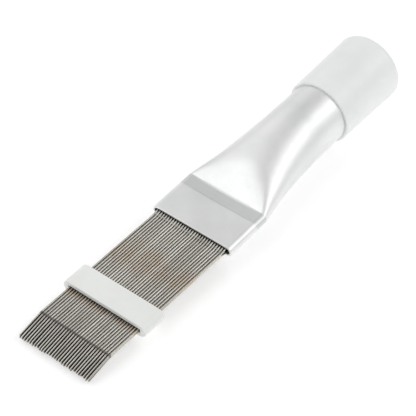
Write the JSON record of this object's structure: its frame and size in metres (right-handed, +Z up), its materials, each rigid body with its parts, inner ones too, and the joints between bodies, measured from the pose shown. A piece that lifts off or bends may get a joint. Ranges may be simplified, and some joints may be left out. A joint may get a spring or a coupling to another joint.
{
  "type": "uncapping fork",
  "caption": "Hand fork for beekeeping: two rows of bent steel needles clamped in a flattened tube handle, with a sliding stop and an end cap.",
  "frame": {"origin": "centre of the footprint on the plane the tool lies on, z = 0: the cap's rounded end and the lowest needle tips touch it", "axes": "+X from the cap towards the needle tips, level with the floor; +Y across the needle rows; +Z up, the side the tips bend away from. The tube's own axis dips about 4.6 degrees towards the tips."},
  "size_m": [0.211, 0.0428, 0.0341],
  "materials": {
    "brushed_aluminium": "satin, fine grain along the tube",
    "spring_steel": "drawn wire, semi-bright",
    "white_nylon": "moulded, satin",
    "white_vinyl": "dip-moulded, soft sheen"
  },
  "bodies": {
    "fork": {"handle_tube": "brushed_aluminium", "end_cap": "white_vinyl", "needle_upper_01": "spring_steel", "needle_upper_02": "spring_steel", "needle_upper_03": "spring_steel", "needle_upper_04": "spring_steel", "needle_upper_05": "spring_steel", "needle_upper_06": "spring_steel", "needle_upper_07": "spring_steel", "needle_upper_08": "spring_steel", "needle_upper_09": "spring_steel", "needle_upper_10": "spring_steel", "needle_upper_11": "spring_steel", "needle_upper_12": "spring_steel", "needle_upper_13": "spring_steel", "needle_upper_14": "spring_steel", "needle_upper_15": "spring_steel", "needle_upper_16": "spring_steel", "needle_upper_17": "spring_steel", "needle_upper_18": "spring_steel", "needle_upper_19": "spring_steel", "needle_upper_20": "spring_steel", "needle_upper_21": "spring_steel", "needle_upper_22": "spring_steel", "needle_upper_23": "spring_steel", "needle_upper_24": "spring_steel", "needle_upper_25": "spring_steel", "needle_upper_26": "spring_steel", "needle_upper_27": "spring_steel", "needle_upper_28": "spring_steel", "needle_upper_29": "spring_steel", "needle_lower_02": "spring_steel", "needle_lower_03": "spring_steel", "needle_lower_04": "spring_steel", "needle_lower_05": "spring_steel", "needle_lower_06": "spring_steel", "needle_lower_07": "spring_steel", "needle_lower_08": "spring_steel", "needle_lower_09": "spring_steel", "needle_lower_10": "spring_steel", "needle_lower_11": "spring_steel", "needle_lower_12": "spring_steel", "needle_lower_13": "spring_steel", "needle_lower_14": "spring_steel", "needle_lower_15": "spring_steel", "needle_lower_16": "spring_steel", "needle_lower_17": "spring_steel", "needle_lower_18": "spring_steel", "needle_lower_19": "spring_steel", "needle_lower_20": "spring_steel", "needle_lower_21": "spring_steel", "needle_lower_22": "spring_steel", "needle_lower_23": "spring_steel", "needle_lower_24": "spring_steel", "needle_lower_25": "spring_steel", "needle_lower_26": "spring_steel", "needle_lower_27": "spring_steel", "needle_lower_28": "spring_steel", "needle_lower_29": "spring_steel"},
    "slider": {"needle_slider": "white_nylon"}
  },
  "joints": [
    {"name": "slider_slide", "type": "slide", "parent": "fork", "child": "slider", "axis": [0.9992, 0, -0.0399], "range_m": [-0.038, 0.016]}
  ]
}
